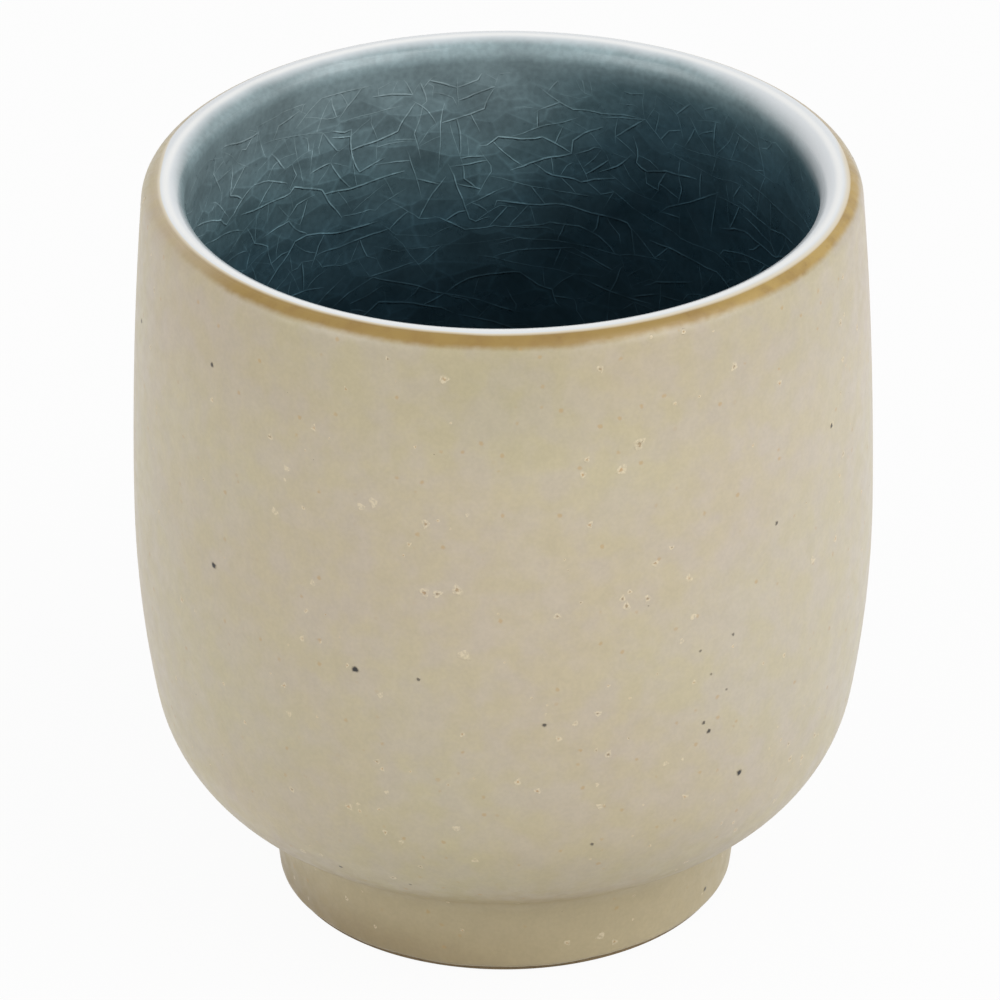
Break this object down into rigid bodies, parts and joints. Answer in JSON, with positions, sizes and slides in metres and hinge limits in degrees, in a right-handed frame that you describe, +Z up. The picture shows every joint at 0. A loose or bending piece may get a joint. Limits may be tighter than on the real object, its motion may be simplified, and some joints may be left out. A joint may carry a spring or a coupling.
{
  "type": "espresso cup",
  "caption": "Handleless stoneware espresso cup with a rounded belly on a foot ring, cream speckled glaze outside, toasted lip and blue-grey crackle glaze inside.",
  "frame": {"origin": "centre of the foot ring's standing face, on the table under the cup's axis", "axes": "+Z up along the axis of revolution, towards the lip; X and Y lie in the table's plane"},
  "size_m": [0.062, 0.062, 0.065],
  "materials": {
    "clay": "matt",
    "cream_glaze": "satin",
    "toasted_glaze": "satin",
    "pale_glaze": "gloss",
    "crackle_glaze": "gloss"
  },
  "bodies": {
    "root": {"bowl": "clay", "foot_ring": "clay", "slip_joint": "clay", "outer_glaze": "cream_glaze", "base_glaze": "cream_glaze", "rim_band": "toasted_glaze", "lip_glaze": "pale_glaze", "crackle_lining": "crackle_glaze"}
  },
  "joints": []
}
